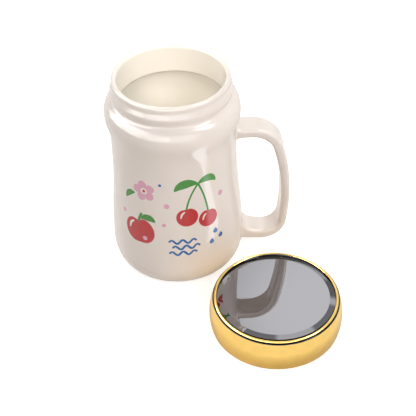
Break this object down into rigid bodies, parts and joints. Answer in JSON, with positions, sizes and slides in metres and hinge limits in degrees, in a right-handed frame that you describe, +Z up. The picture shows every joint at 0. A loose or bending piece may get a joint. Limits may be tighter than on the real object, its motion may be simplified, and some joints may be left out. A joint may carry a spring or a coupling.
{
  "type": "lidded mug",
  "caption": "Tall ceramic mug with a strap handle and a beaded neck, with its push-on plated lid that has a round bevelled mirror in the top, lying beside it.",
  "frame": {"origin": "on the mug's axis, at the plane of its foot ring", "axes": "+Z up along the mug's axis, out of its mouth; +X towards the handle; the lid lies towards -Y and +X"},
  "size_m": [0.1357, 0.1535, 0.13],
  "materials": {
    "glazed_porcelain": "clear gloss glaze over white body",
    "gold_plate": "gold plating on moulded plastic",
    "mirror_glass": "bevelled, polished",
    "foam_tape": "matte",
    "white_plastic": "moulded, satin",
    "silicone": "satin"
  },
  "bodies": {
    "mug": {"mug_body": "glazed_porcelain", "handle": "glazed_porcelain"},
    "lid": {"lid_shell": "gold_plate", "mirror_bezel": "gold_plate", "mirror": "mirror_glass", "mirror_pad": "foam_tape", "lid_liner": "white_plastic", "seal_ring": "silicone"}
  },
  "joints": [
    {"name": "lid_lift", "type": "slide", "parent": "mug", "child": "lid", "axis": [0, 0, 1], "range_m": [0, 0.15]}
  ]
}
